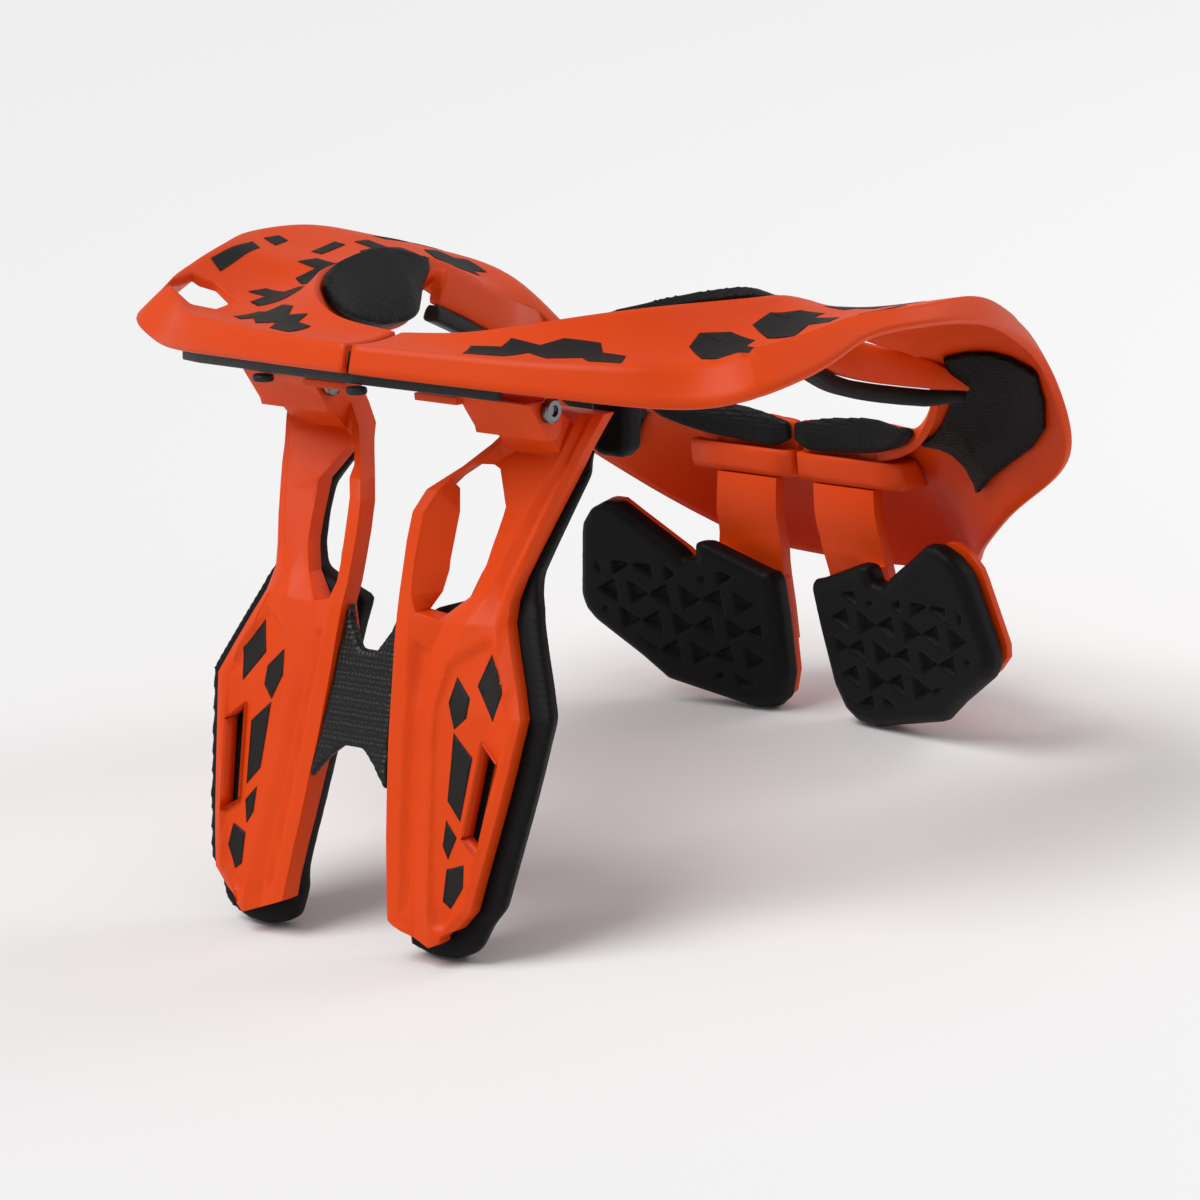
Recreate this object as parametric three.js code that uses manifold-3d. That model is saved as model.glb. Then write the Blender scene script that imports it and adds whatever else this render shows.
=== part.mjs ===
import * as THREE from "three";
import Module from "manifold-3d";

// Motocross neck brace, millimetres, +Z up, the wearer facing -Y and their left towards +X.
// Every left piece is modelled in the worn pose and mirrored in X, then the whole brace is
// pitched and dropped until the chest pads and the shoulder blade pads stand on the ground.

const wasm = await Module();
wasm.setup();

// Named sizes, each one free to change by itself
const HALF_WIDTH = 145;
const HALF_LENGTH = 150;
const COLLAR_RISE = 110;
const SHEET = 3;
const GAP = 0.5;
const STEPS = 3;

const LIP_WIDTH = 5;
const LIP_HEIGHT = 12.5;
const RUBBER_WIDTH = 6.2;
const RUBBER_HEIGHT = 5.6;

const FRONT_PAD_CROWN = 7;
const REAR_PAD_CROWN = 6.5;
const PANEL_DEPTH = 4;
const HOLE_X = 112;
const HOLE_Y = -70;
const HOLE_SIZE = 22;

const LINK_INSET = 0.85;
const LINK_DEPTH = 5;
const LINK_TALL = 6;
const LINK_RIGHT = 95;
const LINK_LEFT = 62;
const BUTTON_RADIUS = 3.5;
const BUTTON_TALL = 2.4;

const HINGE_BACK = 21.15;
const HINGE_Z = 83.3;
const BOLT_RADIUS = 2;
const BOLT_HEAD_RADIUS = 4.2;
const BOLT_HEAD_TALL = 2.2;
const BORE_CLEARANCE = 0.35;
const KNUCKLE_WALL = 1.7;
const BRACKET_IN = 30.6;
const BRACKET_OUT = 59;
const CHEEK = 2.8;
const BRACKET_ABOVE = 2.7;
const BRACKET_BELOW = 9.8;
const BRACKET_FRONT = 9.6;
const BRACKET_REAR = 7.4;
const CLAVICLE_BACK = 31.4;

const STRUT_HALF_WIDTH = 66;
const STRUT_REACH = 38;
const STRUT_HEIGHT = 86;
const STRUT_THICK = 5;
const CHEST_FOAM = 10.5;
const CHEST_FOAM_SPREAD = 3.2;
const RAIL_DEPTH = 7.5;
const BRIDGE_THICK = 3.5;

const STRAP_THICK = 5;
const SCAPULA_WIDTH = 91;
const SCAPULA_HEIGHT = 60;
const SCAPULA_THICK = 10.5;
const SCAPULA_PLATE = 3;
const LEDGE_HALF_WIDTH = 45;
const LEDGE_DEPTH = 9;
const LEDGE_PROUD = 5.5;
const LEDGE_TALL = 10;

const ORANGE = 0xd9440c;
const BLACK = 0x1b1b1d;
const RUBBER = 0x141415;
const STEEL = 0x3a3b3d;

// Small helpers: points, grids and closed bodies

const at = (x, y, z) => new THREE.Vector3(x, y, z);

function closed(points, triangles) {
  const geometry = new THREE.BufferGeometry();
  const flat = points.flatMap((p) => [p.x, p.y, p.z]);
  geometry.setAttribute("position", new THREE.Float32BufferAttribute(flat, 3));
  let volume = 0;
  for (const [a, b, c] of triangles) {
    volume += points[a].dot(points[b].clone().cross(points[c]));
  }
  const faces = volume < 0 ? triangles.map(([a, b, c]) => [a, c, b]) : triangles;
  geometry.setIndex(faces.flat());
  return geometry;
}

// Two grids of the same size, joined along the border and round each cell left out
function skin(front, back, omitted = () => false) {
  const rows = front.length;
  const columns = front[0].length;
  const points = [...front.flat(), ...back.flat()];
  const top = (i, j) => i * columns + j;
  const under = (i, j) => rows * columns + i * columns + j;
  const solid = (i, j) =>
    i >= 0 && j >= 0 && i < rows - 1 && j < columns - 1 && !omitted(i, j);
  const triangles = [];
  const quad = (a, b, c, d) => triangles.push([a, b, c], [a, c, d]);
  for (let i = 0; i < rows - 1; i += 1) {
    for (let j = 0; j < columns - 1; j += 1) {
      if (!solid(i, j)) continue;
      quad(top(i, j), top(i + 1, j), top(i + 1, j + 1), top(i, j + 1));
      quad(under(i, j), under(i, j + 1), under(i + 1, j + 1), under(i + 1, j));
      const sides = [
        [i - 1, j, i, j + 1, i, j],
        [i + 1, j, i + 1, j, i + 1, j + 1],
        [i, j - 1, i, j, i + 1, j],
        [i, j + 1, i + 1, j + 1, i, j + 1],
      ];
      for (const [ni, nj, ai, aj, bi, bj] of sides) {
        if (solid(ni, nj)) continue;
        quad(top(bi, bj), top(ai, aj), under(ai, aj), under(bi, bj));
      }
    }
  }
  const used = new Map();
  const kept = [];
  const packed = triangles.map((t) =>
    t.map((k) => {
      if (!used.has(k)) {
        used.set(k, kept.length);
        kept.push(points[k]);
      }
      return used.get(k);
    })
  );
  return closed(kept, packed);
}

// A smooth line through a short list of points
function smooth(points, steps = STEPS) {
  const curve = new THREE.CatmullRomCurve3(points, false, "centripetal");
  const count = (points.length - 1) * steps;
  return Array.from({ length: count + 1 }, (_, i) => curve.getPoint(i / count));
}

// Each column of a table of rows becomes a smooth line, then rows are read off again
function densify(rows, steps = STEPS) {
  const lines = rows[0].map((_, j) => smooth(rows.map((row) => row[j]), steps));
  return lines[0].map((_, i) => lines.map((line) => line[i]));
}

function normals(grid) {
  const sums = grid.map((row) => row.map(() => at(0, 0, 0)));
  for (let i = 0; i < grid.length - 1; i += 1) {
    for (let j = 0; j < grid[0].length - 1; j += 1) {
      const a = grid[i + 1][j + 1].clone().sub(grid[i][j]);
      const b = grid[i + 1][j].clone().sub(grid[i][j + 1]);
      const n = a.cross(b).normalize();
      for (const [p, q] of [[i, j], [i + 1, j], [i, j + 1], [i + 1, j + 1]]) sums[p][q].add(n);
    }
  }
  return sums.map((row) => row.map((n) => n.normalize()));
}

const shifted = (grid, directions, depth) =>
  grid.map((row, i) =>
    row.map((p, j) => {
      const d = typeof depth === "function" ? depth(i, j) : depth;
      return p.clone().addScaledVector(directions[i][j], d);
    })
  );

// An outline in two numbers, shrunk by an inset along its corner bisectors
function inset(outline, amount) {
  const n = outline.length;
  const area = outline.reduce((sum, [x, z], i) => {
    const [p, q] = outline[(i + 1) % n];
    return sum + x * q - p * z;
  }, 0);
  const turn = area > 0 ? 1 : -1;
  return outline.map(([x, z], i) => {
    const [ax, az] = outline[(i + n - 1) % n];
    const [bx, bz] = outline[(i + 1) % n];
    const a = new THREE.Vector2(x - ax, z - az).normalize();
    const b = new THREE.Vector2(bx - x, bz - z).normalize();
    const m = new THREE.Vector2(-(a.y + b.y), a.x + b.x).normalize();
    const lean = Math.max(0.5, Math.abs(m.x * -a.y + m.y * a.x));
    return [x + (m.x * turn * amount) / lean, z + (m.y * turn * amount) / lean];
  });
}

// A cushion or plate: the same outline at several depths behind a surface, capped at both ends
function cushion(outline, loops, place) {
  const rings = loops.map(([amount, depth]) =>
    inset(outline, amount).map(([x, z]) => place(x, z, depth))
  );
  const n = outline.length;
  const points = rings.flat();
  const flat = outline.map(([x, z]) => new THREE.Vector2(x, z));
  const cap = THREE.ShapeUtils.triangulateShape(flat, []);
  const triangles = [];
  for (const [a, b, c] of cap) {
    triangles.push([a, b, c]);
    const last = (rings.length - 1) * n;
    triangles.push([last + a, last + c, last + b]);
  }
  const ccw = THREE.ShapeUtils.area(flat) > 0;
  for (let k = 0; k < rings.length - 1; k += 1) {
    for (let i = 0; i < n; i += 1) {
      const a = k * n + i;
      const b = k * n + ((i + 1) % n);
      const quad = ccw ? [[a, a + n, b + n], [a, b + n, b]] : [[a, b + n, a + n], [a, b, b + n]];
      triangles.push(...quad);
    }
  }
  return closed(points, orient(triangles));
}

// The walls run against the cap's shared edges, whichever way the outline was listed
function orient(triangles) {
  const edges = new Map();
  triangles.forEach((t, k) => {
    t.forEach((a, i) => {
      const b = t[(i + 1) % 3];
      const key = a < b ? `${a},${b}` : `${b},${a}`;
      if (!edges.has(key)) edges.set(key, []);
      edges.get(key).push(k);
    });
  });
  const seen = new Set([0]);
  const queue = [0];
  const result = triangles.map((t) => [...t]);
  while (queue.length) {
    const k = queue.pop();
    const t = result[k];
    t.forEach((a, i) => {
      const b = t[(i + 1) % 3];
      const key = a < b ? `${a},${b}` : `${b},${a}`;
      for (const other of edges.get(key)) {
        if (seen.has(other)) continue;
        seen.add(other);
        const o = result[other];
        const same = o.some((c, m) => c === a && o[(m + 1) % 3] === b);
        if (same) result[other] = [o[0], o[2], o[1]];
        queue.push(other);
      }
    });
  }
  return result;
}

function cylinder(radius, height, position, axis, sides = 20) {
  const geometry = new THREE.CylinderGeometry(radius, radius, height, sides);
  const turn = new THREE.Quaternion().setFromUnitVectors(at(0, 1, 0), axis.clone().normalize());
  geometry.applyQuaternion(turn);
  geometry.translate(position.x, position.y, position.z);
  return geometry;
}

// A polygon in Y and Z pulled along X
function slab(outline, x0, x1) {
  const points = [...outline.map(([y, z]) => at(x0, y, z)), ...outline.map(([y, z]) => at(x1, y, z))];
  const n = outline.length;
  const flat = outline.map(([y, z]) => new THREE.Vector2(y, z));
  const triangles = [];
  for (const [a, b, c] of THREE.ShapeUtils.triangulateShape(flat, [])) {
    triangles.push([a, b, c], [n + a, n + c, n + b]);
  }
  for (let i = 0; i < n; i += 1) {
    const j = (i + 1) % n;
    triangles.push([i, j, n + j], [i, n + j, n + i]);
  }
  return closed(points, orient(triangles));
}

function solid(geometry) {
  const whole = geometry.clone();
  whole.deleteAttribute("normal");
  whole.deleteAttribute("uv");
  const position = whole.getAttribute("position");
  const keys = new Map();
  const properties = [];
  const remap = [];
  for (let i = 0; i < position.count; i += 1) {
    const p = [position.getX(i), position.getY(i), position.getZ(i)];
    const key = p.map((v) => v.toFixed(4)).join();
    if (!keys.has(key)) {
      keys.set(key, properties.length / 3);
      properties.push(...p);
    }
    remap.push(keys.get(key));
  }
  const triVerts = [];
  const index = Array.from(whole.index.array, (k) => remap[k]);
  for (let i = 0; i < index.length; i += 3) {
    const [a, b, c] = index.slice(i, i + 3);
    if (a !== b && b !== c && a !== c) triVerts.push(a, b, c);
  }
  return new wasm.Manifold(
    new wasm.Mesh({
      numProp: 3,
      vertProperties: new Float32Array(properties),
      triVerts: new Uint32Array(triVerts),
    })
  );
}

function fromSolid(body) {
  const mesh = body.getMesh();
  const geometry = new THREE.BufferGeometry();
  geometry.setAttribute("position", new THREE.Float32BufferAttribute(mesh.vertProperties, 3));
  geometry.setIndex(Array.from(mesh.triVerts));
  return geometry;
}

// The collar sheet of the wearer's left half, from the front centre round to the rear centre.
// Each station gives four points in shares of HALF_WIDTH, HALF_LENGTH and COLLAR_RISE:
// skirt (lower inner edge), crest (inner top), rim (outer top) and edge (outer lower edge),
// then the bulge of the sheet between crest and rim in millimetres, below zero for a dish.
const STATIONS = [
  [[0.01, -0.673, 0.864], [0.01, -0.693, 0.936], [0.01, -0.857, 0.927], [0.01, -0.873, 0.845], -1],
  [[0.172, -0.66, 0.873], [0.179, -0.68, 0.955], [0.2, -0.82, 0.923], [0.207, -0.837, 0.836], -2],
  [[0.29, -0.587, 0.9], [0.31, -0.607, 0.986], [0.414, -0.767, 0.918], [0.428, -0.783, 0.823], -4],
  [[0.366, -0.487, 0.873], [0.4, -0.507, 1.009], [0.641, -0.687, 0.923], [0.655, -0.707, 0.806], -7],
  [[0.407, -0.387, 0.836], [0.476, -0.4, 1.023], [0.745, -0.587, 0.923], [0.786, -0.633, 0.811], -10],
  [[0.428, -0.267, 0.814], [0.517, -0.28, 1.023], [0.824, -0.527, 0.959], [0.892, -0.573, 0.851], -11],
  [[0.445, -0.147, 0.818], [0.545, -0.147, 1.018], [0.872, -0.407, 0.989], [0.933, -0.43, 0.895], -10],
  [[0.479, -0.087, 0.832], [0.548, -0.087, 1.014], [0.89, -0.337, 1.007], [0.943, -0.36, 0.927], -9],
  [[0.516, -0.033, 0.864], [0.545, -0.027, 1.005], [0.91, -0.247, 1.027], [0.952, -0.257, 0.975], -6],
  [[0.521, 0.08, 0.923], [0.541, 0.087, 0.964], [0.966, -0.1, 1.036], [0.992, -0.1, 0.986], -3],
  [[0.528, 0.2, 0.864], [0.545, 0.2, 0.9], [0.952, 0.12, 1.027], [0.986, 0.12, 0.955], 1],
  [[0.545, 0.333, 0.8], [0.559, 0.333, 0.827], [0.903, 0.313, 0.945], [0.938, 0.32, 0.868], 5],
  [[0.545, 0.447, 0.745], [0.559, 0.447, 0.782], [0.855, 0.493, 0.818], [0.893, 0.5, 0.736], 7],
  [[0.517, 0.56, 0.6], [0.524, 0.567, 0.645], [0.793, 0.66, 0.527], [0.834, 0.673, 0.432], 7],
  [[0.4, 0.66, 0.418], [0.407, 0.66, 0.464], [0.579, 0.757, 0.327], [0.607, 0.777, 0.214], 7],
  [[0.276, 0.723, 0.332], [0.276, 0.72, 0.455], [0.414, 0.867, 0.155], [0.428, 0.907, 0.041], 5],
  [[0.138, 0.747, 0.309], [0.138, 0.747, 0.436], [0.317, 0.973, 0.055], [0.338, 0.993, -0.045], 5],
  [[0.007, 0.753, 0.305], [0.007, 0.75, 0.423], [0.007, 0.977, 0.018], [0.007, 1, -0.073], 5],
];
const ACROSS = [0.1, 0.3, 0.5, 0.7, 0.9];

const place3 = ([x, y, z]) => at(x * HALF_WIDTH, y * HALF_LENGTH, z * COLLAR_RISE);

const stationRows = STATIONS.map(([skirt, crest, rim, edge, bulge]) => [
  place3(skirt),
  place3(crest),
  place3(rim),
  place3(edge),
  at(bulge, 0, 0),
]);

const collarTop = densify(stationRows).map(([skirt, crest, rim, edge, bulge], i, all) => {
  const before = all[Math.max(0, i - 1)][1];
  const after = all[Math.min(all.length - 1, i + 1)][1];
  const along = after.clone().sub(before).normalize();
  const chord = rim.clone().sub(crest).normalize();
  const out = chord.clone().cross(along).normalize();
  if (out.z < 0) out.negate();
  const middle = ACROSS.map((t) => {
    const lift = bulge.x * Math.pow(Math.sin(Math.PI * t), 0.8);
    return crest.clone().lerp(rim, t).addScaledVector(out, lift);
  });
  return [skirt, crest, ...middle, rim, edge];
});
const outward = normals(collarTop);
if (outward[10][4].z < 0) outward.forEach((row) => row.forEach((n) => n.negate()));
const collarUnder = shifted(collarTop, outward, -SHEET);

// The corner hole runs straight down through the sheet, with its front corner cut off
const half = HOLE_SIZE / 2;
const holeCut = cushion(
  [
    [HOLE_X - half, HOLE_Y - half + 4],
    [HOLE_X - half + 6, HOLE_Y - half - 2],
    [HOLE_X + half - 3, HOLE_Y - half + 1],
    [HOLE_X + half, HOLE_Y + half - 5],
    [HOLE_X + half - 6, HOLE_Y + half],
    [HOLE_X - half + 4, HOLE_Y + half - 4],
  ],
  [
    [0, COLLAR_RISE - 40],
    [0, COLLAR_RISE + 20],
  ],
  (x, y, depth) => at(x, y, depth)
);

// The block on the rear half that carries the back strap, in one piece with the sheet
const rearSkirt = collarTop[collarTop.length - 1][0];
const LEDGE_FRONT = rearSkirt.y - LEDGE_PROUD;
const LEDGE_TOP = rearSkirt.z + 2.1;
const ledge = slab(
  [
    [LEDGE_FRONT, LEDGE_TOP],
    [LEDGE_FRONT + LEDGE_DEPTH + 4, LEDGE_TOP],
    [LEDGE_FRONT + LEDGE_DEPTH + 12, LEDGE_TOP - LEDGE_TALL],
    [LEDGE_FRONT + 1.5, LEDGE_TOP - LEDGE_TALL],
  ],
  1,
  LEDGE_HALF_WIDTH
);

const collar = fromSolid(
  solid(skin(collarTop, collarUnder)).subtract(solid(holeCut)).add(solid(ledge))
);

// A patch of cushion over the collar grid, thicker in the middle
function patch(rows, columns, base, crown, edge, surface = collarTop) {
  const [i0, i1] = rows;
  const [j0, j1] = columns;
  const cut = (grid) => grid.slice(i0, i1 + 1).map((row) => row.slice(j0, j1 + 1));
  const grid = cut(surface);
  const directions = cut(outward);
  const sign = Math.sign(base);
  const full = (i, j) => {
    const s = i / (i1 - i0);
    const t = j / (j1 - j0);
    const round = Math.pow(Math.sin(Math.PI * s), 0.4) * Math.pow(Math.sin(Math.PI * t), 0.4);
    return base + sign * (edge + (crown - edge) * (round || 0));
  };
  return skin(shifted(grid, directions, full), shifted(grid, directions, base));
}

// The neck side pads stand on a finer grid of the skirt and the crest
function skirtPad(rows, base, crown, edge, over, floor = 0) {
  const [i0, i1] = rows;
  const shares = [0, 0.25, 0.5, 0.75, 1];
  const front = [];
  const back = [];
  for (let i = i0; i <= i1; i += 1) {
    const [skirt, crest, first] = collarTop[i];
    const s = (i - i0) / (i1 - i0);
    const end = Math.pow(Math.max(0, Math.sin(Math.PI * s)), 0.5);
    const before = collarTop[Math.max(0, i - 1)][1];
    const after = collarTop[Math.min(collarTop.length - 1, i + 1)][1];
    const along = after.clone().sub(before).normalize();
    const side = along.clone().cross(crest.clone().sub(skirt)).normalize();
    if (side.x * skirt.x + side.y * skirt.y > 0) side.negate();
    const up = crest.clone().sub(skirt).normalize();
    const lean = up.clone().add(side).normalize();
    const low = Math.max(floor, 0.5 - 0.5 * end);
    const line = shares.map((t) => skirt.clone().lerp(crest, low + (1 - low) * t * (1 - 0.3 * (1 - end))));
    const lay = shares.map((t) => side.clone().lerp(lean, t > 0.9 ? over : 0).normalize());
    const off = base + Math.max(0, s - 0.7) * 7;
    back.push(line.map((p) => p.clone().addScaledVector(side, off)));
    front.push(
      line.map((p, k) => {
        const t = shares[k];
        const round = Math.pow(Math.max(0, Math.sin(Math.PI * (0.08 + 0.84 * t))), 0.5) * end;
        return p.clone().addScaledVector(lay[k], off + edge + (crown - edge) * round);
      })
    );
  }
  return skin(front, back);
}

const frontPad = skirtPad([9, 25], GAP + 0.2, FRONT_PAD_CROWN, 2, 0.1);
const rearPad = skirtPad([42, 51], GAP, REAR_PAD_CROWN, 3.5, 0.5, 0.25);
const rearPanel = patch([37, 43], [2, 7], -(SHEET + GAP + 0.1), PANEL_DEPTH, 2.5);

// The shoulder lip: a bar along the neck opening that ends as a free pointed tail,
// with a rubber strip under it. Crest line in shares of HALF_WIDTH, HALF_LENGTH, COLLAR_RISE,
// then the share of the full height.
const LIP = [
  [0.494, 0.033, 0.953, 1],
  [0.497, 0.147, 0.889, 1],
  [0.503, 0.28, 0.805, 1],
  [0.53, 0.36, 0.76, 0.95],
  [0.555, 0.438, 0.715, 0.85],
  [0.579, 0.513, 0.662, 0.65],
  [0.614, 0.58, 0.602, 0.25],
];

function bar(width, drop, height) {
  const path = LIP.map(([x, y, z]) => place3([x, y, z]));
  const line = smooth(path);
  const tall = smooth(LIP.map(([, , , share]) => at(share, 0, 0))).map((p) => p.x);
  const ring = [
    [-0.5, -0.3],
    [-0.3, 0],
    [0.3, 0],
    [0.5, -0.3],
    [0.5, -0.85],
    [0.35, -1],
    [-0.35, -1],
    [-0.5, -0.85],
  ];
  const rows = line.map((p, i) => {
    const a = line[Math.max(0, i - 1)];
    const b = line[Math.min(line.length - 1, i + 1)];
    const along = b.clone().sub(a).normalize();
    const side = at(along.y, -along.x, 0).normalize();
    const up = side.clone().cross(along).normalize();
    if (up.z < 0) up.negate();
    const w = width * Math.min(1, 0.35 + tall[i] * 0.75);
    const lift = drop ? -drop * tall[i] - GAP : 0;
    const share = drop ? Math.min(1, 0.4 + tall[i]) : tall[i];
    return ring.map(([s, h]) =>
      p.clone().addScaledVector(side, s * w).addScaledVector(up, lift + h * height * share)
    );
  });
  const n = ring.length;
  const points = rows.flat();
  const triangles = [];
  for (let i = 0; i < rows.length - 1; i += 1) {
    for (let k = 0; k < n; k += 1) {
      const m = (k + 1) % n;
      triangles.push([i * n + k, i * n + m, (i + 1) * n + m]);
      triangles.push([i * n + k, (i + 1) * n + m, (i + 1) * n + k]);
    }
  }
  for (let k = 1; k < n - 1; k += 1) {
    triangles.push([0, k + 1, k]);
    const last = (rows.length - 1) * n;
    triangles.push([last, last + k, last + k + 1]);
  }
  return closed(points, orient(triangles));
}

const shoulderLip = bar(LIP_WIDTH, 0, LIP_HEIGHT);
const shoulderRubber = bar(RUBBER_WIDTH, LIP_HEIGHT, RUBBER_HEIGHT);

// The link plate runs just inside the front rim, from the right shoulder past the centre
function linkPlate() {
  const edgeLine = collarTop.slice(0, 14).map((row) => row[8]);
  const mirrored = edgeLine.map((p) => at(-p.x, p.y, p.z)).reverse();
  const path = [...mirrored, ...edgeLine].filter((p) => p.x > -LINK_RIGHT && p.x < LINK_LEFT);
  const inward = SHEET + LINK_INSET;
  const rows = path.map((p, i) => {
    const a = path[Math.max(0, i - 1)];
    const b = path[Math.min(path.length - 1, i + 1)];
    const along = b.clone().sub(a).setZ(0).normalize();
    const side = at(-along.y, along.x, 0);
    const start = p.clone().addScaledVector(side, inward);
    return [
      start.clone().setZ(p.z - LINK_TALL + 2),
      start.clone().setZ(p.z + 2),
      start.clone().addScaledVector(side, LINK_DEPTH).setZ(p.z + 2),
      start.clone().addScaledVector(side, LINK_DEPTH).setZ(p.z - LINK_TALL + 2),
    ];
  });
  const triangles = [];
  for (let i = 0; i < rows.length - 1; i += 1) {
    for (let k = 0; k < 4; k += 1) {
      const m = (k + 1) % 4;
      triangles.push([i * 4 + k, i * 4 + m, (i + 1) * 4 + m]);
      triangles.push([i * 4 + k, (i + 1) * 4 + m, (i + 1) * 4 + k]);
    }
  }
  const last = (rows.length - 1) * 4;
  triangles.push([0, 2, 1], [0, 3, 2], [last, last + 1, last + 2], [last, last + 2, last + 3]);
  return closed(rows.flat(), orient(triangles));
}

function button(x) {
  const row = collarTop
    .slice(0, 10)
    .map((r) => r[8])
    .reduce((best, p) => (Math.abs(p.x - Math.abs(x)) < Math.abs(best.x - Math.abs(x)) ? p : best));
  const z = row.z - LINK_TALL + 2 - GAP - BUTTON_TALL / 2 - 0.4;
  const y = row.y + SHEET + LINK_INSET + BUTTON_RADIUS - 2.4;
  return cylinder(BUTTON_RADIUS, BUTTON_TALL, at(x, y, z), at(0, 0, 1));
}

// The hinge: a bracket under the collar with a front wall and two cheeks, and a bolt across it
const rimOver = (x) =>
  collarTop
    .map((row) => row[8])
    .reduce((best, p) => (p.y < 0 && Math.abs(p.x - x) < Math.abs(best.x - x) ? p : best));
const HINGE_Y = rimOver((BRACKET_IN + BRACKET_OUT) / 2).y + HINGE_BACK;
const BRACKET_TOP = HINGE_Z + BRACKET_ABOVE;
const BRACKET_BOTTOM = HINGE_Z - BRACKET_BELOW;
const WALL_TOP_Y = HINGE_Y - BRACKET_FRONT;
const WALL_BOTTOM_Y = WALL_TOP_Y + 8.2;
const CHEEK_REAR = HINGE_Y + BRACKET_REAR;
const bore = (clearance) =>
  cylinder(
    BOLT_RADIUS + clearance,
    80,
    at((BRACKET_IN + BRACKET_OUT) / 2, HINGE_Y, HINGE_Z),
    at(1, 0, 0)
  );

const cheekShape = [
  [WALL_TOP_Y, BRACKET_TOP],
  [CHEEK_REAR, BRACKET_TOP],
  [CHEEK_REAR - 0.6, BRACKET_BOTTOM + 2.5],
  [CHEEK_REAR - 3.4, BRACKET_BOTTOM],
  [WALL_BOTTOM_Y + 0.8, BRACKET_BOTTOM],
  [WALL_BOTTOM_Y, BRACKET_BOTTOM + 2.2],
];
const wallShape = [
  [WALL_TOP_Y, BRACKET_TOP],
  [WALL_TOP_Y + 2.2, BRACKET_TOP],
  [WALL_BOTTOM_Y + 1.8, BRACKET_BOTTOM + 1.7],
  [WALL_BOTTOM_Y + 2.5, BRACKET_BOTTOM],
  [WALL_BOTTOM_Y + 0.8, BRACKET_BOTTOM],
  [WALL_BOTTOM_Y, BRACKET_BOTTOM + 2.2],
];
const flangeShape = [
  [WALL_TOP_Y - 2.4, BRACKET_TOP],
  [WALL_TOP_Y + 2, BRACKET_TOP],
  [WALL_TOP_Y + 2, BRACKET_TOP - 2.4],
  [WALL_TOP_Y - 2, BRACKET_TOP - 2.4],
];
const bracket = fromSolid(
  solid(slab(cheekShape, BRACKET_IN, BRACKET_IN + CHEEK))
    .add(solid(slab(cheekShape, BRACKET_OUT - CHEEK, BRACKET_OUT)))
    .add(solid(slab(wallShape, BRACKET_IN, BRACKET_OUT)))
    .add(solid(slab(flangeShape, BRACKET_IN - 16, BRACKET_IN + 1)))
    .subtract(solid(bore(BORE_CLEARANCE)))
);
const boltShank = cylinder(
  BOLT_RADIUS,
  BRACKET_OUT - BRACKET_IN + 1.6,
  at((BRACKET_IN + BRACKET_OUT) / 2, HINGE_Y, HINGE_Z),
  at(1, 0, 0)
);
const boltHead = cylinder(
  BOLT_HEAD_RADIUS,
  BOLT_HEAD_TALL,
  at(BRACKET_IN - GAP - BOLT_HEAD_TALL / 2, HINGE_Y, HINGE_Z),
  at(1, 0, 0)
);
const boltNut = cylinder(
  BOLT_HEAD_RADIUS,
  BOLT_HEAD_TALL,
  at(BRACKET_OUT + GAP + BOLT_HEAD_TALL / 2, HINGE_Y, HINGE_Z),
  at(1, 0, 0)
);
const bolt = fromSolid(solid(boltShank).add(solid(boltHead)).add(solid(boltNut)));

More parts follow.
